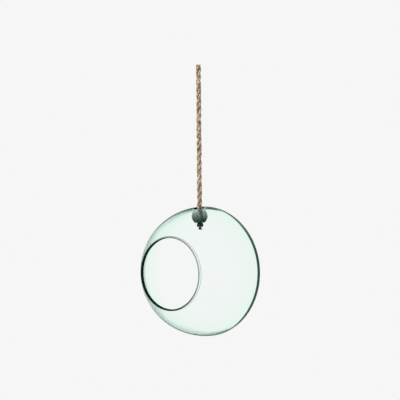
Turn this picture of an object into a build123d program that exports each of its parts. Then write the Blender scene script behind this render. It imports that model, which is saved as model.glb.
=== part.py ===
"""Hanging propagation vase: a blown glass globe with a mouth in its side, hung on a jute rope.

Millimetres. The origin is the cut upper end of the rope, +Z is up and the mouth faces -Y.
"""

import os
from math import acos, asin, atan2, cos, degrees, hypot, radians, sin, sqrt

from build123d import *

os.makedirs("parts", exist_ok=True)

# Rope: its thickness and how much of it stands above the glass
rope_d = 6.0
rope_above_glass = 185.5

# Globe outside: widest radius, depth of the round front and of the flatter back, and how tightly
# the side turns into the back
globe_r = 84.3
front_depth = 85.7
back_depth = 33.0
back_edge_r = 14.0

# The front curves in as far as this angle, then runs straight to the mouth
shoulder_angle = 39.0
mouth_r = 46.0

# Glass thickness at the sides, at the back and, along the mouth's axis, at the cut edge
side_wall = 3.6
back_wall = 5.0
mouth_land = 5.7
mouth_round = 0.5

# Rope hole: how far it lies in front of the widest section, its width and its ground edges
hole_station = 13.7
hole_d = 12.6
hole_bevel = 0.5

# Stopper bead: a ball with flats at its drilled ends, whose bore squeezes the rope a little
bead_d = 20.5
bead_h = 16.4
bead_round = 0.8
bead_bore_d = 5.6
bore_clearance = 0.05
seat_gap = 0.2

# Knot under the bead, tied in one strand of the rope
strand_d = 2.7
knot_d = 8.2
knot_h = 5.8
knot_core_inset = 0.6
knot_wrap_margin = 0.25
knot_gap = 0.1

# Tail: the strand's short end, which splays to one side
tail_h = 3.1
tail_flare = 1.7
tail_lean = 0.7
tail_direction = 35.5


# The straight run leaves the round front at its shoulder angle and stops at the mouth's radius
def mouth_station(radius, depth):
    along = (radius * cos(radians(shoulder_angle)) - mouth_r) / (radius * sin(radians(shoulder_angle)))
    return depth * (sin(radians(shoulder_angle)) + along * cos(radians(shoulder_angle)))


# The back is one wide arc about a point on the axis, which the side's tight arc runs into
def back_radius(radius, depth, edge_r):
    return (depth**2 + (radius - edge_r) ** 2 - edge_r**2) / (2 * (depth - edge_r))


mouth_front = mouth_station(globe_r, front_depth)
mouth_back = mouth_front - mouth_land

# The inside follows the outside at a smaller size, moved forward until the mouth's land is right
inner_r = globe_r - side_wall
inner_front_depth = front_depth * inner_r / globe_r
inner_centre = mouth_back - mouth_station(inner_r, inner_front_depth)
inner_back_depth = inner_centre + back_depth - back_wall
inner_edge_r = back_edge_r - side_wall

# Wide arc of the back, outside and inside, and how far round the tight arc goes before it
back_r = back_radius(globe_r, back_depth, back_edge_r)
inner_back_r = back_radius(inner_r, inner_back_depth, inner_edge_r)
edge_turn = degrees(atan2(back_r - back_depth, globe_r - back_edge_r))
inner_edge_turn = degrees(atan2(inner_back_r - inner_back_depth, inner_r - inner_edge_r))

# The hole is drilled square to the glass, so it leans forward as the surface does
hole_height = globe_r * sqrt(1 - (hole_station / front_depth) ** 2)
hole_lean = atan2(hole_station / front_depth**2, hole_height / globe_r**2)

# The ball sits in the bevel of the hole's inner edge: its centre lies on the hole's axis, and so on
# the rope's. The curved glass falls away from the hole's middle by the sag at each edge
rope_r = rope_d / 2
hole_r = hole_d / 2
bead_r = bead_d / 2
bead_bore_r = bead_bore_d / 2
bevel_r = hole_r + hole_bevel
inner_edge = sqrt((bead_r + seat_gap) ** 2 - bevel_r**2)
hole_to_bead = inner_edge + bevel_r**2 / (2 * inner_r) + side_wall
outer_edge = hole_to_bead - bevel_r**2 / (2 * globe_r)
bead_z = -rope_above_glass - hole_to_bead * cos(hole_lean)
globe_y = hole_station - hole_to_bead * sin(hole_lean)
globe_z = -rope_above_glass - hole_height
bead_top = bead_z + bead_h / 2
bead_bottom = bead_z - bead_h / 2
knot_top = bead_bottom - knot_gap

# Profile plane of the globe: local X runs forward along the mouth's axis, local Y down, so that
# the revolved faces start and end at the bottom, away from the rope hole
globe_plane = Plane(origin=(0, globe_y, globe_z), x_dir=(0, -1, 0), z_dir=(1, 0, 0))

# Section through the hole: local X runs out from its axis, local Y up along it from the bead's centre
hole_axis = Axis((0, 0, bead_z), (0, -sin(hole_lean), cos(hole_lean)))
hole_section = Plane(
    origin=hole_axis.position, x_dir=(1, 0, 0), z_dir=(0, -cos(hole_lean), -sin(hole_lean))
)

# Glass globe: a revolved shell, cut parallel to its axis at the mouth, then drilled for the rope
with BuildPart() as glass_globe:
    with BuildSketch(globe_plane) as globe_profile:
        with BuildLine():
            outer_front = EllipticalCenterArc(
                (0, 0),
                front_depth,
                globe_r,
                start_angle=90 - shoulder_angle,
                arc_size=shoulder_angle,
            )
            inner_front = EllipticalCenterArc(
                (inner_centre, 0),
                inner_front_depth,
                inner_r,
                start_angle=90 - shoulder_angle,
                arc_size=shoulder_angle,
            )
            CenterArc((0, globe_r - back_edge_r), back_edge_r, 90, edge_turn)
            outer_back = CenterArc((back_r - back_depth, 0), back_r, 90 + edge_turn, 90 - edge_turn)
            CenterArc((inner_centre, inner_r - inner_edge_r), inner_edge_r, 90, inner_edge_turn)
            inner_back = CenterArc(
                (inner_centre + inner_back_r - inner_back_depth, 0),
                inner_back_r,
                90 + inner_edge_turn,
                90 - inner_edge_turn,
            )
            Line(outer_front @ 0, (mouth_front, mouth_r))
            Line((mouth_front, mouth_r), (mouth_back, mouth_r))
            Line((mouth_back, mouth_r), inner_front @ 0)
            Line(inner_back @ 1, outer_back @ 1)
        make_face()
        fillet(globe_profile.vertices().sort_by(Axis.X)[-2:], radius=mouth_round)
    revolve(axis=Axis(globe_plane.origin, globe_plane.x_dir))
    with BuildSketch(hole_section):
        with BuildLine():
            Polyline(
                (0, inner_edge - hole_bevel),
                (bevel_r + hole_bevel, inner_edge - hole_bevel),
                (hole_r, inner_edge + hole_bevel),
                (hole_r, outer_edge - hole_bevel),
                (bevel_r + hole_bevel, outer_edge + hole_bevel),
                (0, outer_edge + hole_bevel),
                close=True,
            )
        make_face()
    revolve(axis=hole_axis, mode=Mode.SUBTRACT)
glass_globe.part.label = "glass_globe"
export_step(glass_globe.part, "parts/glass_globe.step")

# Rope: one straight run from its cut end down through the hole, squeezed from the bead to the knot
with BuildPart() as rope:
    with BuildSketch(Plane.XY):
        Circle(rope_r)
    extrude(amount=bead_top)
    with BuildSketch(Plane.XY.offset(bead_top)):
        Circle(bead_bore_r - bore_clearance)
    extrude(amount=knot_top - bead_top)
rope.part.label = "rope"
export_step(rope.part, "parts/rope.step")

# Stopper bead: a drilled ball with flat ends and softened bore edges
with BuildPart() as stopper_bead:
    with BuildSketch(Plane.XZ) as bead_profile:
        flat_r = sqrt(bead_r**2 - (bead_h / 2) ** 2)
        with BuildLine():
            ball = ThreePointArc((flat_r, bead_top), (bead_r, bead_z), (flat_r, bead_bottom))
            Polyline(ball @ 1, (bead_bore_r, bead_bottom), (bead_bore_r, bead_top), ball @ 0)
        make_face()
        fillet(bead_profile.vertices().group_by(Axis.X)[0], radius=bead_round)
    revolve(axis=Axis.Z)
stopper_bead.part.label = "stopper_bead"
export_step(stopper_bead.part, "parts/stopper_bead.step")

# Stopper knot: a drawn-up core with two strand turns that cross over it
with BuildPart() as stopper_knot:
    knot_r = knot_d / 2
    strand_r = strand_d / 2
    core_r = knot_r - knot_core_inset
    wrap_r = knot_r - strand_r
    wrap_tilt = degrees(asin((knot_h / 2 - strand_r - knot_wrap_margin) / wrap_r))
    with BuildSketch(Plane.XZ):
        with BuildLine():
            bulge = ThreePointArc(
                ((rope_r + core_r) / 2, knot_top),
                (core_r, knot_top - knot_h / 2),
                (strand_r, knot_top - knot_h),
            )
            Polyline(bulge @ 1, (0, knot_top - knot_h), (0, knot_top), bulge @ 0)
        make_face()
    revolve(axis=Axis.Z)
    with Locations((0, 0, knot_top - knot_h / 2)):
        Torus(wrap_r, strand_r, rotation=(wrap_tilt, 0, 0))
        Torus(wrap_r, strand_r, rotation=(-wrap_tilt, 0, 0))
stopper_knot.part.label = "stopper_knot"
export_step(stopper_knot.part, "parts/stopper_knot.step")

# Rope tail: the strand's end, splayed towards one side
with BuildPart() as rope_tail:
    tail_top = knot_top - knot_h
    with BuildSketch(Plane.XY.offset(tail_top)):
        Circle(strand_r)
    splay = (tail_lean * cos(radians(tail_direction)), tail_lean * sin(radians(tail_direction)))
    with BuildSketch(Plane.XY.offset(tail_top - tail_h)):
        with Locations(splay):
            Circle(strand_r * tail_flare)
    loft()
rope_tail.part.label = "rope_tail"
export_step(rope_tail.part, "parts/rope_tail.step")

# The globe hangs level where its centre of mass lies under the rope, and tips until its hole meets it
centre = glass_globe.part.center(CenterOf.MASS)
print("centre of mass ahead of the rope", round(-centre.Y, 3), "below the bead", round(bead_z - centre.Z, 2))
edge_angle = degrees(acos(rope_r / hypot(hole_r, hole_to_bead)) - atan2(hole_to_bead, hole_r))
tip_up = edge_angle + degrees(hole_lean)
tip_down = edge_angle - degrees(hole_lean)
print("mouth tips up to", round(tip_up, 1), "and down to", round(tip_down, 1))
print("bead centre", round(bead_z, 3), "globe centre", round(globe_y, 3), round(globe_z, 3))
print("rope wall", round(-bead_top, 3), "with no bends, whole rope", round(-knot_top, 3))
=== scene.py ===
"""Hanging propagation vase: a pale green glass globe on a jute rope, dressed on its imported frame.

Metres. The origin is the rope's cut upper end, +Z is up and the globe's mouth faces -Y.
"""

import math
import random

import bpy
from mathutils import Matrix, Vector


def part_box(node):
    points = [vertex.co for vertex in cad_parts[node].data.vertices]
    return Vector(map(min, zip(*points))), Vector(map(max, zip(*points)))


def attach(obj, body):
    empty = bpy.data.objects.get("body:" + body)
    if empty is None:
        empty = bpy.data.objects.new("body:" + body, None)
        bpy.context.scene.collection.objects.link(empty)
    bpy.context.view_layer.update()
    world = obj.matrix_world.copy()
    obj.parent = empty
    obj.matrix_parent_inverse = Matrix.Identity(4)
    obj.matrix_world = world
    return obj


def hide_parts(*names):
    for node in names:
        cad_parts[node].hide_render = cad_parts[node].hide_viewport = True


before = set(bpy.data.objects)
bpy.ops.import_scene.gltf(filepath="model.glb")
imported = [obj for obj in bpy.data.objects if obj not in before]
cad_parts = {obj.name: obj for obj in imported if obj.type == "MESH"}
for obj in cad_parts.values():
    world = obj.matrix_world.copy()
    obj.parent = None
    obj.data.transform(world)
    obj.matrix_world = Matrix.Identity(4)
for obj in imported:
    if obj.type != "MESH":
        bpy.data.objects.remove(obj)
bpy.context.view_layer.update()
bpy.ops.object.select_all(action="DESELECT")
scene = bpy.context.scene
scene.view_settings.view_transform = "Standard"

# Camera: a long lens five metres away, a little above the globe and looking slightly down. It
# stands to the right of the mouth's axis, so that the mouth shows at the left of the globe, and is
# rolled a little, as the rope leans in the photo.
image_px = 400
focal_px = 3852.3
sensor_mm = 36.0
camera_place = (2.9951, -4.0037, -0.0369)
camera_tilt = math.radians(88.4103)
camera_turn = math.radians(36.7795)
camera_roll = math.radians(0.47)
bpy.ops.object.camera_add(location=camera_place, rotation=(camera_tilt, camera_roll, camera_turn))
camera = bpy.context.object
camera.data.sensor_width = sensor_mm
camera.data.lens = focal_px * sensor_mm / image_px
scene.camera = camera

# Rope: three-strand laid jute, 6 mm thick, hung straight by its cut upper end. It runs through the
# hole in the glass and is squeezed in the bead's bore. Its line is the straight run of the frame.
rope_low, rope_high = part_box("rope")
bead_low, bead_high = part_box("stopper_bead")
globe_low, globe_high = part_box("glass_globe")
rope_d = rope_high.x - rope_low.x
rope_length = rope_high.z - rope_low.z
strand_count = 3
lay_pitch = 0.030
strand_r = rope_d / 2 / (1 + 2 / math.sqrt(3))
strand_orbit = rope_d / 2 - strand_r
strand_fullness = 1.16
strand_sides = 20
ridge_count = 7
ridge_depth = 0.05
ridge_pitch = 0.016
bore_squeeze = 0.9
squeeze_run = 0.002
rope_points = 5
samples_a_span = 96

# Two waves along the rope, shifted from strand to strand, make the strands uneven and sway them
strand_unevenness = 0.07
lay_sway = 0.24
wave_rates = (310, 173)
wave_shifts = (2.1, 4.4)

route_curve = bpy.data.curves.new("rope_route", "CURVE")
route_curve.dimensions = "3D"
route_curve.resolution_u = samples_a_span
route_spline = route_curve.splines.new("NURBS")
route_spline.points.add(rope_points - 1)
for index, point in enumerate(route_spline.points):
    point.co = (0, 0, rope_high.z - rope_length * index / (rope_points - 1), 1)
route_spline.order_u = 3
route_spline.use_endpoint_u = True
route = bpy.data.objects.new("rope_route", route_curve)
scene.collection.objects.link(route)
bpy.context.view_layer.update()
route_mesh = bpy.data.meshes.new_from_object(route)
rope_line = [vertex.co.copy() for vertex in route_mesh.vertices]
bpy.data.objects.remove(route)
bpy.data.meshes.remove(route_mesh)

# A side direction is swapped for another where its angle to the tube's run has a larger cosine
parallel_limit = 0.95


def tube(points, radii, sides, ridges=0.0, ridge_turn=0.0):
    """Vertices and faces of a closed tube along points, with fibre ridges that twist round it."""
    vertices = []
    faces = []
    count = len(points)
    side = Vector((1, 0, 0))
    run = 0.0
    for index, point in enumerate(points):
        ahead = points[min(index + 1, count - 1)]
        behind = points[max(index - 1, 0)]
        along = (ahead - behind).normalized()
        if index:
            run += (point - points[index - 1]).length
        if abs(along.dot(side)) > parallel_limit:
            side = Vector((0, 1, 0))
        side = (side - along * along.dot(side)).normalized()
        across = along.cross(side)
        for step in range(sides):
            angle = 2 * math.pi * step / sides
            ridge = 1 + ridges * math.cos(ridge_count * angle + ridge_turn * run)
            reach = radii[index] * ridge
            around = side * math.cos(angle) * reach + across * math.sin(angle) * reach
            vertices.append(point + around)
    for index in range(count - 1):
        for step in range(sides):
            a = index * sides + step
            b = index * sides + (step + 1) % sides
            faces.append((a, b, b + sides, a + sides))
    faces.append(tuple(reversed(range(sides))))
    faces.append(tuple(range((count - 1) * sides, count * sides)))
    return vertices, faces


smooth_angle = math.radians(60)


def mesh_piece(name, tubes):
    """One smooth-shaded mesh object made of several tubes."""
    vertices = []
    faces = []
    for tube_vertices, tube_faces in tubes:
        start = len(vertices)
        vertices.extend(tube_vertices)
        faces.extend(tuple(start + corner for corner in face) for face in tube_faces)
    mesh = bpy.data.meshes.new(name)
    mesh.from_pydata(vertices, [], faces)
    mesh.update()
    piece = bpy.data.objects.new(name, mesh)
    scene.collection.objects.link(piece)
    bpy.ops.object.select_all(action="DESELECT")
    piece.select_set(True)
    bpy.context.view_layer.objects.active = piece
    bpy.ops.object.mode_set(mode="EDIT")
    bpy.ops.mesh.select_all(action="SELECT")
    bpy.ops.mesh.normals_make_consistent(inside=False)
    bpy.ops.object.mode_set(mode="OBJECT")
    bpy.ops.object.shade_smooth_by_angle(angle=smooth_angle)
    return piece


def squeeze(height):
    """The rope's full width above the bead, and less of it inside the bore."""
    into = min(max((bead_high.z + squeeze_run - height) / squeeze_run, 0), 1)
    return 1 + (bore_squeeze - 1) * into * into * (3 - 2 * into)


ridge_turn = -2 * math.pi / ridge_pitch
rope_tubes = []
for strand in range(strand_count):
    strand_line = []
    strand_radii = []
    for point in rope_line:
        waves = zip(wave_rates, wave_shifts)
        wave = sum(math.sin(point.z * rate + strand * shift) for rate, shift in waves)
        uneven = 1 + strand_unevenness * wave / 2
        angle = 2 * math.pi * (strand / strand_count + point.z / lay_pitch) + lay_sway * wave
        width = squeeze(point.z)
        offset = Vector((math.cos(angle), math.sin(angle), 0)) * strand_orbit * width
        strand_line.append(point + offset)
        strand_radii.append(strand_r * strand_fullness * uneven * width)
    vertices, faces = tube(strand_line, strand_radii, strand_sides, ridge_depth, ridge_turn)
    for vertex in vertices:
        vertex.z = min(vertex.z, rope_high.z)
    rope_tubes.append((vertices, faces))

# Loose fibres that stand off the strands, curved and tapering
fibre_count = 150
fibre_seed = 11
fibre_r = 0.00005
fibre_sides = 3
fibre_steps = 6
fibre_end_gap = 0.004
fibre_lengths = (0.002, 0.007)
fibre_slopes = (0.5, 1.0)
fibre_swing = 0.6
fibre_stand_offs = (0.0003, 0.0013)
fibre_root = 0.93
fibre_curl = 1.5
fibre_taper = 0.7
draw = random.Random(fibre_seed)
for fibre in range(fibre_count):
    height = draw.uniform(globe_high.z, rope_high.z - fibre_end_gap)
    angle = draw.uniform(0, 2 * math.pi)
    length = draw.uniform(*fibre_lengths)
    rise = draw.choice((-1, 1)) * draw.uniform(*fibre_slopes)
    swing = draw.uniform(-fibre_swing, fibre_swing)
    stand_off = draw.uniform(*fibre_stand_offs)
    fibre_line = []
    fibre_radii = []
    for step in range(fibre_steps):
        share = step / (fibre_steps - 1)
        out = rope_d / 2 * fibre_root + stand_off * share**fibre_curl
        turn = angle + swing * share
        up = min(height + rise * length * share, rope_high.z)
        fibre_line.append(Vector((math.cos(turn) * out, math.sin(turn) * out, up)))
        fibre_radii.append(fibre_r * (1 - fibre_taper * share))
    rope_tubes.append(tube(fibre_line, fibre_radii, fibre_sides))
jute_rope = mesh_piece("jute_rope", rope_tubes)

# How far out from the rope's middle each point lies, for the painted shade in the grooves
crown = jute_rope.data.attributes.new("crown", "FLOAT", "POINT")
for vertex in jute_rope.data.vertices:
    crown.data[vertex.index].value = min(math.hypot(vertex.co.x, vertex.co.y) / (rope_d / 2), 1)


def new_material(name):
    """An empty node material and its output node."""
    material = bpy.data.materials.new(name)
    material.use_nodes = True
    material.node_tree.nodes.clear()
    output = material.node_tree.nodes.new("ShaderNodeOutputMaterial")
    return material, material.node_tree.nodes, material.node_tree.links, output


def ramp_node(nodes, stops):
    """A colour ramp with the given (place, colour) stops."""
    ramp = nodes.new("ShaderNodeValToRGB")
    elements = ramp.color_ramp.elements
    while len(elements) < len(stops):
        elements.new(0.5)
    for element, (place, colour) in zip(elements, stops):
        element.position = place
        element.color = (*colour, 1)
    return ramp


def math_node(nodes, links, operation, first, second):
    """A math node whose inputs are sockets or plain numbers; returns its output socket."""
    node = nodes.new("ShaderNodeMath")
    node.operation = operation
    for socket, value in zip(node.inputs, (first, second)):
        if isinstance(value, (int, float)):
            socket.default_value = value
        else:
            links.new(value, socket)
    return node.outputs["Value"]


def range_node(nodes, links, value, start, end, low=0.0, high=1.0):
    """A map range node from start and end to low and high; returns its output socket."""
    node = nodes.new("ShaderNodeMapRange")
    for name, number in (("From Min", start), ("From Max", end), ("To Min", low), ("To Max", high)):
        node.inputs[name].default_value = number
    links.new(value, node.inputs["Value"])
    return node.outputs["Result"]


def mix_colour(nodes, links, factor, first, second):
    """A colour mix of two sockets or plain colours; returns its output socket."""
    node = nodes.new("ShaderNodeMix")
    node.data_type = "RGBA"
    links.new(factor, node.inputs["Factor"])
    for socket, value in zip((node.inputs["A"], node.inputs["B"]), (first, second)):
        if isinstance(value, tuple):
            socket.default_value = (*value, 1)
        else:
            links.new(value, socket)
    return node.outputs["Result"]


def noise_node(nodes, links, vector, scale, detail):
    """A noise texture on the given coordinates; returns its output socket."""
    node = nodes.new("ShaderNodeTexNoise")
    node.inputs["Scale"].default_value = scale
    node.inputs["Detail"].default_value = detail
    links.new(vector, node.inputs["Vector"])
    return node.outputs["Fac"]


def stretch_node(nodes, links, vector, scale):
    """The given coordinates at another scale along each axis; returns the output socket."""
    node = nodes.new("ShaderNodeMapping")
    node.inputs["Scale"].default_value = scale
    links.new(vector, node.inputs["Vector"])
    return node.outputs["Vector"]


# Jute: long pale and brown fibres along the rope with lighter and darker specks, dry and a little
# furry, with a painted shade that darkens the grooves between the strands
jute_pale = (0.86, 0.69, 0.48)
jute_mid = (0.59, 0.44, 0.283)
jute_brown = (0.27, 0.19, 0.115)
jute_groove_shade = (0.28, 0.195, 0.117)
fibre_scale = (1500, 1500, 150)
fibre_detail = 4.0
speck_scale = (600, 600, 380)
speck_detail = 2.0
speck_strength = 2.0
noise_mean = 0.5
groove_run = (0.55, 0.92)
jute, nodes, links, output = new_material("jute")
place = nodes.new("ShaderNodeTexCoord").outputs["Object"]
fibres = noise_node(nodes, links, stretch_node(nodes, links, place, fibre_scale), 1.0, fibre_detail)
specks = noise_node(nodes, links, stretch_node(nodes, links, place, speck_scale), 1.0, speck_detail)
speck_lift = math_node(nodes, links, "SUBTRACT", specks, noise_mean)
speck_share = math_node(nodes, links, "MULTIPLY", speck_lift, speck_strength)
fibre_colour = ramp_node(nodes, [(0.30, jute_brown), (0.48, jute_mid), (0.68, jute_pale)])
links.new(math_node(nodes, links, "ADD", fibres, speck_share), fibre_colour.inputs["Fac"])
groove = nodes.new("ShaderNodeAttribute")
groove.attribute_name = "crown"
groove_shade_share = range_node(nodes, links, groove.outputs["Fac"], *groove_run)
# Painted shade: the grooves between the strands are coloured darker brown than the crowns
shade = mix_colour(nodes, links, groove_shade_share, jute_groove_shade, fibre_colour.outputs["Color"])
fuzz = nodes.new("ShaderNodeBump")
fuzz.inputs["Strength"].default_value = 0.6
fuzz.inputs["Distance"].default_value = 0.0003
links.new(fibres, fuzz.inputs["Height"])
jute_shader = nodes.new("ShaderNodeBsdfPrincipled")
jute_shader.inputs["Roughness"].default_value = 0.9
jute_shader.inputs["Sheen Weight"].default_value = 0.25
links.new(shade, jute_shader.inputs["Base Color"])
links.new(fuzz.outputs["Normal"], jute_shader.inputs["Normal"])
links.new(jute_shader.outputs["BSDF"], output.inputs["Surface"])
jute_rope.data.materials.append(jute)
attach(jute_rope, "rope")
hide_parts("rope")

# Stopper knot: one strand of the rope, tied in an overhand knot and drawn tight under the bead.
# It carries the bead, and is coloured dark green to almost black.
knot_low, knot_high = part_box("stopper_knot")
knot_middle = (knot_low + knot_high) / 2
knot_strand_r = 0.00145
knot_fullness = 1.28
knot_reach = ((knot_high.x - knot_low.x) / 2 - knot_strand_r) * knot_fullness
knot_rise = (knot_high.z - knot_low.z) / 2 - knot_strand_r
knot_steps = 120
knot_sides = 16
knot_ridge_depth = 0.06
knot_ridge_pitch = 0.012

# The strand's middle line is a trefoil, which is an overhand knot with its ends joined
knot_line = []
for step in range(knot_steps + 1):
    angle = 2 * math.pi * step / knot_steps
    east = (math.sin(angle) + 2 * math.sin(2 * angle)) / 3 * knot_reach
    north = (math.cos(angle) - 2 * math.cos(2 * angle)) / 3 * knot_reach
    up = -math.sin(3 * angle) * knot_rise
    knot_line.append(knot_middle + Vector((east, north, up)))
knot_radii = [knot_strand_r] * len(knot_line)
knot_turn = -2 * math.pi / knot_ridge_pitch
knot = mesh_piece("knot", [tube(knot_line, knot_radii, knot_sides, knot_ridge_depth, knot_turn)])

knot_dark = (0.004, 0.010, 0.007)
knot_green = (0.055, 0.130, 0.095)
knot_fibre_scale = 1400.0
knot_fibre_detail = 3.0
dark_jute, nodes, links, output = new_material("dark_jute")
place = nodes.new("ShaderNodeTexCoord").outputs["Object"]
fibres = noise_node(nodes, links, place, knot_fibre_scale, knot_fibre_detail)
fibre_colour = ramp_node(nodes, [(0.35, knot_dark), (0.65, knot_green)])
links.new(fibres, fibre_colour.inputs["Fac"])
fuzz = nodes.new("ShaderNodeBump")
fuzz.inputs["Strength"].default_value = 0.5
fuzz.inputs["Distance"].default_value = 0.0002
links.new(fibres, fuzz.inputs["Height"])
dark_shader = nodes.new("ShaderNodeBsdfPrincipled")
dark_shader.inputs["Roughness"].default_value = 0.8
dark_shader.inputs["Specular IOR Level"].default_value = 0.1
links.new(fibre_colour.outputs["Color"], dark_shader.inputs["Base Color"])
links.new(fuzz.outputs["Normal"], dark_shader.inputs["Normal"])
links.new(dark_shader.outputs["BSDF"], output.inputs["Surface"])
knot.data.materials.append(dark_jute)
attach(knot, "rope")
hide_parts("stopper_knot")

# Rope tail: the strand's end below the knot, cut short. Its yarns splay out and lean to one side.
tail_low, tail_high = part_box("rope_tail")
tail_foot = Vector(((tail_low.x + tail_high.x) / 2, (tail_low.y + tail_high.y) / 2, tail_low.z))
tail_head = Vector((0, 0, tail_high.z))
tail_head_r = 0.0009
tail_fullness = 1.05
tail_foot_r = (tail_high.x - tail_low.x) / 2 * tail_fullness
splay_curve = 1.6
yarn_seed = 5
yarn_r = 0.00055
yarn_sides = 8
yarn_steps = 6
yarn_cut = 0.0004

# How many yarns each ring has, and how far out it lies as a share of the tail's radius
yarn_rings = ((1, 0.0), (5, 0.5), (9, 1.0))
tail_tubes = []
draw = random.Random(yarn_seed)
for yarns, ring in yarn_rings:
    for yarn in range(yarns):
        angle = 2 * math.pi * yarn / yarns + ring
        spoke = Vector((math.cos(angle), math.sin(angle), 0)) * ring
        cut = draw.uniform(0.0, yarn_cut)
        yarn_line = []
        for step in range(yarn_steps):
            share = step / (yarn_steps - 1)
            spread = tail_head_r + (tail_foot_r - tail_head_r) * share**splay_curve
            foot = tail_foot + Vector((0, 0, cut))
            yarn_line.append(tail_head.lerp(foot, share) + spoke * spread)
        tail_tubes.append(tube(yarn_line, [yarn_r] * yarn_steps, yarn_sides))
tail = mesh_piece("tail", tail_tubes)
tail.data.materials.append(dark_jute)
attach(tail, "rope")
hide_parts("rope_tail")

# Stopper bead: a drilled ball under the hole, which the globe rests on. It is dark green and
# satin, with a faint mottled grain, and a painted shade darkens it towards its foot.
bead_dark = (0.012, 0.058, 0.036)
bead_green = (0.040, 0.128, 0.086)
bead_foot_shade = (0.003, 0.030, 0.017)
bead_shade_run = 0.011
mottle_scale = 260.0
mottle_detail = 5.0
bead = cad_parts["stopper_bead"]
bead_finish, nodes, links, output = new_material("bead_green")
place = nodes.new("ShaderNodeTexCoord").outputs["Object"]
mottle = ramp_node(nodes, [(0.38, bead_dark), (0.62, bead_green)])
links.new(noise_node(nodes, links, place, mottle_scale, mottle_detail), mottle.inputs["Fac"])
bead_spot = nodes.new("ShaderNodeSeparateXYZ")
links.new(place, bead_spot.inputs["Vector"])
# Painted shade: the bead's colour darkens towards its foot, where less light reaches
bead_shade_rise = range_node(nodes, links, bead_spot.outputs["Z"], bead_low.z, bead_low.z + bead_shade_run)
bead_shader = nodes.new("ShaderNodeBsdfPrincipled")
bead_shader.inputs["Roughness"].default_value = 0.5
bead_shader.inputs["Specular IOR Level"].default_value = 0.12
bead_colour = mix_colour(nodes, links, bead_shade_rise, bead_foot_shade, mottle.outputs["Color"])
links.new(bead_colour, bead_shader.inputs["Base Color"])
links.new(bead_shader.outputs["BSDF"], output.inputs["Surface"])
bead.data.materials.clear()
bead.data.materials.append(bead_finish)

# Glass globe: blown, pale green glass with a wall of about 3.6 mm, cut parallel to its axis at the
# mouth and drilled for the rope. The light trapped in the wall gets a painted dark green shade,
# most of all round the thick back, and the ground cut at the mouth a painted shade that is almost
# black.
glass_ior = 1.5
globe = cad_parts["glass_globe"]
globe_middle = (globe_low + globe_high) / 2
glass, nodes, links, output = new_material("green_glass")
place = nodes.new("ShaderNodeTexCoord").outputs["Object"]
spot = nodes.new("ShaderNodeSeparateXYZ")
links.new(place, spot.inputs["Vector"])
facing = nodes.new("ShaderNodeNewGeometry")
inside = facing.outputs["Backfacing"]
slope = nodes.new("ShaderNodeLayerWeight")
slope.inputs["Blend"].default_value = 0.3
mirror_share = nodes.new("ShaderNodeFresnel")
mirror_share.inputs["IOR"].default_value = glass_ior

# Places on the glass: height above its middle, and distance from the mouth's axis and from the rope
rise = math_node(nodes, links, "SUBTRACT", spot.outputs["Z"], globe_middle.z)
rise_square = math_node(nodes, links, "MULTIPLY", rise, rise)
run_square = math_node(nodes, links, "MULTIPLY", spot.outputs["X"], spot.outputs["X"])
depth_square = math_node(nodes, links, "MULTIPLY", spot.outputs["Y"], spot.outputs["Y"])
axis_square = math_node(nodes, links, "ADD", rise_square, run_square)
from_axis = math_node(nodes, links, "SQRT", axis_square, 0.0)
rope_square = math_node(nodes, links, "ADD", depth_square, run_square)
from_rope = math_node(nodes, links, "SQRT", rope_square, 0.0)
in_front = math_node(nodes, links, "LESS_THAN", spot.outputs["Y"], globe_middle.y)
behind = math_node(nodes, links, "GREATER_THAN", spot.outputs["Y"], globe_middle.y)
above = math_node(nodes, links, "GREATER_THAN", rise, 0.0)

# The cut at the mouth is found by its radius. The rim round it is a band that is wider where the
# glass is seen more edge on
cut_radius = 0.046
cut_slack = 0.0006
rim_runs = (0.0009, 0.0026)
rim_edge_on = 0.7
near_cut = math_node(nodes, links, "COMPARE", from_axis, cut_radius)
near_cut.node.inputs[2].default_value = cut_slack
cut = math_node(nodes, links, "MULTIPLY", near_cut, in_front)
rim_ends = [globe_low.y + run for run in rim_runs]
rim_reach = range_node(nodes, links, slope.outputs["Facing"], 0.0, rim_edge_on, *rim_ends)
rim = math_node(nodes, links, "LESS_THAN", spot.outputs["Y"], rim_reach)

# The hole's wall and bevels, and the glass next to them, lie near the rope's line
drilled_r = 0.0095
near_rope = math_node(nodes, links, "LESS_THAN", from_rope, drilled_r)
drilled = math_node(nodes, links, "MULTIPLY", near_rope, above)

# The triangles round the middle of the back get the normal of its wide arc, which their shared
# corner lacks
pole_r = 0.0056
back_arc_r = 0.154
lean = nodes.new("ShaderNodeVectorTransform")
lean.vector_type = "NORMAL"
lean.convert_from = "WORLD"
lean.convert_to = "OBJECT"
links.new(facing.outputs["Normal"], lean.inputs["Vector"])
lean_axes = nodes.new("ShaderNodeSeparateXYZ")
links.new(lean.outputs["Vector"], lean_axes.inputs["Vector"])
backward = math_node(nodes, links, "GREATER_THAN", lean_axes.outputs["Y"], 0.0)
side = range_node(nodes, links, backward, 0.0, 1.0, -1.0, 1.0)
spoke = nodes.new("ShaderNodeCombineXYZ")
links.new(math_node(nodes, links, "MULTIPLY", spot.outputs["X"], side), spoke.inputs["X"])
links.new(math_node(nodes, links, "MULTIPLY", side, back_arc_r), spoke.inputs["Y"])
links.new(math_node(nodes, links, "MULTIPLY", rise, side), spoke.inputs["Z"])
arc = nodes.new("ShaderNodeVectorTransform")
arc.vector_type = "NORMAL"
arc.convert_from = "OBJECT"
arc.convert_to = "WORLD"
links.new(spoke.outputs["Vector"], arc.inputs["Vector"])
in_pole = math_node(nodes, links, "LESS_THAN", from_axis, pole_r)
normal = nodes.new("ShaderNodeMix")
normal.data_type = "VECTOR"
links.new(math_node(nodes, links, "MULTIPLY", in_pole, behind), normal.inputs["Factor"])
links.new(facing.outputs["Normal"], normal.inputs["A"])
links.new(arc.outputs["Vector"], normal.inputs["B"])
links.new(normal.outputs["Result"], slope.inputs["Normal"])
links.new(normal.outputs["Result"], mirror_share.inputs["Normal"])
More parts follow.
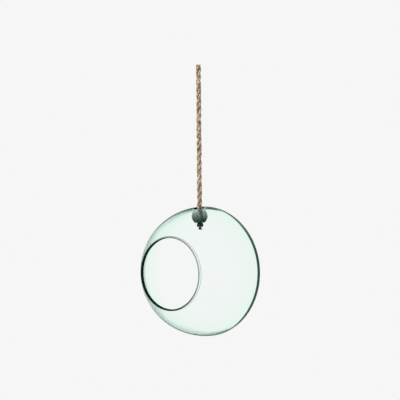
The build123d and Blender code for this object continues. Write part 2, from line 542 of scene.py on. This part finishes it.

# How far edge on the glass is seen sets its tint and its painted edge shade. Three limits keep
# these
# places clear even there: the inner surface seen from the cavity, the shoulder next to the mouth
# and the glass at the hole
inner_slope = 0.62
shoulder_slope = 0.57
shoulder_runs = (0.025, 0.050)
drilled_slope = 0.66
middle = nodes.new("ShaderNodeVectorMath")
middle.operation = "SUBTRACT"
middle.inputs[1].default_value = globe_middle
links.new(place, middle.inputs[0])
outward = nodes.new("ShaderNodeVectorMath")
outward.operation = "DOT_PRODUCT"
links.new(middle.outputs["Vector"], outward.inputs[0])
links.new(lean.outputs["Vector"], outward.inputs[1])
within = math_node(nodes, links, "LESS_THAN", outward.outputs["Value"], 0.0)
outside = math_node(nodes, links, "SUBTRACT", 1.0, inside)
cavity = math_node(nodes, links, "MULTIPLY", within, outside)
cavity_limit = range_node(nodes, links, cavity, 0.0, 1.0, 1.0, inner_slope)
shoulder_ends = [globe_low.y + run for run in shoulder_runs]
shoulder_limit = range_node(nodes, links, spot.outputs["Y"], *shoulder_ends, shoulder_slope, 1.0)
drilled_limit = range_node(nodes, links, drilled, 0.0, 1.0, 1.0, drilled_slope)
edge = slope.outputs["Facing"]
for limit in (cavity_limit, shoulder_limit, drilled_limit):
    edge = math_node(nodes, links, "MINIMUM", edge, limit)

# The front mirrors least in a zone below the hole, where the bead's underside and the knot are
# dark, and the back mirrors only where it is seen nearly edge on
calm_share = 0.04
calm_start = (0.0300, 0.0500)
calm_end = (0.0640, 0.0770)
edge_on_shares = (0.12, 0.35)
calm_below = range_node(nodes, links, rise, *calm_start, 1.0, calm_share)
calm_above = range_node(nodes, links, rise, *calm_end, calm_share, 1.0)
for part in (calm_below, calm_above):
    part.node.interpolation_type = "SMOOTHSTEP"
out_of_zone = math_node(nodes, links, "MAXIMUM", calm_below, calm_above)
front_mirror = math_node(nodes, links, "MULTIPLY", out_of_zone, in_front)
edge_mirror = range_node(nodes, links, mirror_share.outputs["Fac"], *edge_on_shares)
kept_mirror = math_node(nodes, links, "MAXIMUM", front_mirror, edge_mirror)
mirrored = math_node(nodes, links, "MULTIPLY", mirror_share.outputs["Fac"], kept_mirror)

# Painted shade for the light that is trapped in the wall by total reflection: it darkens towards
# the back, sooner near the top, is a little lighter again at the very back, and lighter still round
# the hole
trapped_shades = [
    (0.00, (0.95, 0.98, 0.965)),
    (0.50, (0.86, 0.93, 0.89)),
    (0.66, (0.53, 0.65, 0.59)),
    (0.74, (0.31, 0.43, 0.37)),
    (0.79, (0.10, 0.17, 0.14)),
    (0.82, (0.035, 0.085, 0.060)),
    (0.94, (0.035, 0.085, 0.060)),
    (1.00, (0.13, 0.21, 0.17)),
]
trapped_depths = (-0.060, 0.030)
trapped_rise = 0.2
trapped_top_rise = 2.5
trapped_power = 4.0
drilled_shade = (0.62, 0.74, 0.68)
clear_tint = (1.0, 1.0, 1.0)
depth = range_node(nodes, links, spot.outputs["Y"], *trapped_depths)
top_rise = math_node(nodes, links, "MAXIMUM", rise, 0.0)
top_lift = math_node(nodes, links, "MULTIPLY", top_rise, trapped_top_rise)
whole_lift = math_node(nodes, links, "MULTIPLY", rise, trapped_rise)
lift = math_node(nodes, links, "ADD", whole_lift, top_lift)
trapped_ramp = ramp_node(nodes, trapped_shades)
links.new(math_node(nodes, links, "ADD", depth, lift), trapped_ramp.inputs["Fac"])
trapped = mix_colour(nodes, links, drilled, trapped_ramp.outputs["Color"], drilled_shade)
total = math_node(nodes, links, "POWER", mirror_share.outputs["Fac"], trapped_power)
inner_mirror = mix_colour(nodes, links, total, clear_tint, trapped)

# Tints of the clear glass and of what its outside mirrors, from facing the eye to edge on: the pale
# green of the glass, then a painted dark green shade towards edge on
glass_tints_and_edge_shade = [
    (0.00, (0.990, 0.999, 0.995)),
    (0.10, (0.987, 0.999, 0.994)),
    (0.20, (0.977, 0.999, 0.987)),
    (0.30, (0.952, 1.0, 0.971)),
    (0.45, (0.920, 0.997, 0.952)),
    (0.62, (0.88, 0.98, 0.93)),
    (0.76, (0.44, 0.62, 0.53)),
    (0.95, (0.18, 0.33, 0.26)),
]
mirror_tints_and_edge_shade = [
    (0.49, (0.88, 1.0, 0.94)),
    (0.55, (0.50, 0.63, 0.57)),
    (0.62, (0.20, 0.34, 0.27)),
    (0.85, (0.06, 0.16, 0.11)),
]
glass_ramp = ramp_node(nodes, glass_tints_and_edge_shade)
links.new(edge, glass_ramp.inputs["Fac"])
mirror_ramp = ramp_node(nodes, mirror_tints_and_edge_shade)
links.new(edge, mirror_ramp.inputs["Fac"])
mirror_colour = mix_colour(nodes, links, inside, mirror_ramp.outputs["Color"], inner_mirror)

# Painted shade: the cut is painted almost black, and the rim is painted darkest at its foot and
# where it is seen edge on
cut_shade = (0.004, 0.030, 0.014)
cut_mirror_shade = (0.06, 0.20, 0.12)
rim_low_shade = (0.02, 0.05, 0.035)
rim_high_shade = (0.36, 0.43, 0.39)
rim_slope = 0.34
rim_height = range_node(nodes, links, rise, -cut_radius, cut_radius)
rim_lift = math_node(nodes, links, "SUBTRACT", rim_slope, slope.outputs["Facing"])
rim_share = math_node(nodes, links, "ADD", rim_height, rim_lift)
rim_shade = mix_colour(nodes, links, rim_share, rim_low_shade, rim_high_shade)
rim_colour = mix_colour(nodes, links, rim, glass_ramp.outputs["Color"], rim_shade)
rim_mirror = mix_colour(nodes, links, rim, mirror_colour, rim_shade)

bend = nodes.new("ShaderNodeBsdfRefraction")
bend.inputs["IOR"].default_value = glass_ior
bend.inputs["Roughness"].default_value = 0.0
links.new(normal.outputs["Result"], bend.inputs["Normal"])
links.new(mix_colour(nodes, links, cut, rim_colour, cut_shade), bend.inputs["Color"])
mirror = nodes.new("ShaderNodeBsdfGlossy")
mirror.inputs["Roughness"].default_value = 0.0
links.new(normal.outputs["Result"], mirror.inputs["Normal"])
links.new(mix_colour(nodes, links, cut, rim_mirror, cut_mirror_shade), mirror.inputs["Color"])
solid_glass = nodes.new("ShaderNodeMixShader")
links.new(mirrored, solid_glass.inputs["Fac"])
links.new(bend.outputs["BSDF"], solid_glass.inputs[1])
links.new(mirror.outputs["BSDF"], solid_glass.inputs[2])

# From within, light passes straight out through the cut, with a painted dark line at the cut's
# back edge, and shadows of the glass stay pale
shadow_tint = (0.93, 0.98, 0.95)
back_edge_run = 0.0050
back_edge_shade = (0.35, 0.45, 0.40)
see_through = nodes.new("ShaderNodeBsdfTransparent")
rays = nodes.new("ShaderNodeLightPath")
cut_inside = math_node(nodes, links, "MULTIPLY", cut, inside)
back_edge = math_node(nodes, links, "GREATER_THAN", spot.outputs["Y"], globe_low.y + back_edge_run)
cut_back = math_node(nodes, links, "MULTIPLY", cut_inside, back_edge)
see_tint = mix_colour(nodes, links, cut_back, shadow_tint, back_edge_shade)
links.new(see_tint, see_through.inputs["Color"])
straight = math_node(nodes, links, "MAXIMUM", cut_inside, rays.outputs["Is Shadow Ray"])
lit_glass = nodes.new("ShaderNodeMixShader")
links.new(straight, lit_glass.inputs["Fac"])
links.new(solid_glass.outputs["Shader"], lit_glass.inputs[1])
links.new(see_through.outputs["BSDF"], lit_glass.inputs[2])
links.new(lit_glass.outputs["Shader"], output.inputs["Surface"])
globe.data.materials.clear()
globe.data.materials.append(glass)

# Studio: an even pale backdrop that the camera sees, also through the glass and mirrored in it.
# Softer light from above falls on the surfaces, with one large lamp in front and a pale floor far
# below the hanging vase.
backdrop = 0.922
sky_light = 0.70
ground_light = 0.04
first_bounce = 0.5
studio = bpy.data.worlds.new("studio")
scene.world = studio
studio.use_nodes = True
nodes = studio.node_tree.nodes
links = studio.node_tree.links
nodes.clear()
output = nodes.new("ShaderNodeOutputWorld")


def backdrop_rays(nodes, links):
    """One for camera, transmitted and mirrored rays, which see the backdrop; zero for the rest."""
    rays = nodes.new("ShaderNodeLightPath").outputs
    clear = math_node(nodes, links, "MAXIMUM", rays["Is Camera Ray"], rays["Is Transmission Ray"])
    return math_node(nodes, links, "MAXIMUM", clear, rays["Is Glossy Ray"])


direction = nodes.new("ShaderNodeTexCoord")
height = nodes.new("ShaderNodeSeparateXYZ")
links.new(direction.outputs["Generated"], height.inputs["Vector"])
fade = range_node(nodes, links, height.outputs["Z"], -1.0, 1.0, ground_light, sky_light)
light = nodes.new("ShaderNodeBackground")
light.inputs["Color"].default_value = (1, 1, 1, 1)
links.new(fade, light.inputs["Strength"])
wall = nodes.new("ShaderNodeBackground")
wall.inputs["Color"].default_value = (1, 1, 1, 1)
wall.inputs["Strength"].default_value = backdrop

# After its first bounce off a matt surface, a ray sees the softer light and not the backdrop
rays = nodes.new("ShaderNodeLightPath")
direct = math_node(nodes, links, "LESS_THAN", rays.outputs["Diffuse Depth"], first_bounce)
seen = math_node(nodes, links, "MULTIPLY", backdrop_rays(nodes, links), direct)
mixed = nodes.new("ShaderNodeMixShader")
links.new(seen, mixed.inputs["Fac"])
links.new(light.outputs["Background"], mixed.inputs[1])
links.new(wall.outputs["Background"], mixed.inputs[2])
links.new(mixed.outputs["Shader"], output.inputs["Surface"])

lamp_place = Vector((-0.25, -1.8, 1.1))
lamp_aim = Vector((0, 0, -0.15))
lamp_size = 1.2
lamp_power = 26.0
bpy.ops.object.light_add(type="AREA", location=lamp_place)
lamp = bpy.context.object
lamp.rotation_euler = (lamp_aim - lamp_place).to_track_quat("-Z", "Y").to_euler()
lamp.data.size = lamp_size
lamp.data.energy = lamp_power
lamp.visible_glossy = False
lamp.visible_transmission = False

floor_depth = -1.5
floor_size = 8.0
floor_even = 0.97
floor_grey = (0.5, 0.5, 0.5)
bpy.ops.mesh.primitive_plane_add(size=floor_size, location=(0, 0, floor_depth))
floor = bpy.context.object
floor.name = "floor"
floor_paint, nodes, links, output = new_material("floor_paint")
pale = nodes.new("ShaderNodeBsdfDiffuse")
pale.inputs["Color"].default_value = (*floor_grey, 1)
even = nodes.new("ShaderNodeEmission")
even.inputs["Color"].default_value = (backdrop, backdrop, backdrop, 1)
seen = math_node(nodes, links, "MULTIPLY", backdrop_rays(nodes, links), floor_even)
mixed = nodes.new("ShaderNodeMixShader")
links.new(seen, mixed.inputs["Fac"])
links.new(pale.outputs["BSDF"], mixed.inputs[1])
links.new(even.outputs["Emission"], mixed.inputs[2])
links.new(mixed.outputs["Shader"], output.inputs["Surface"])
floor.data.materials.append(floor_paint)
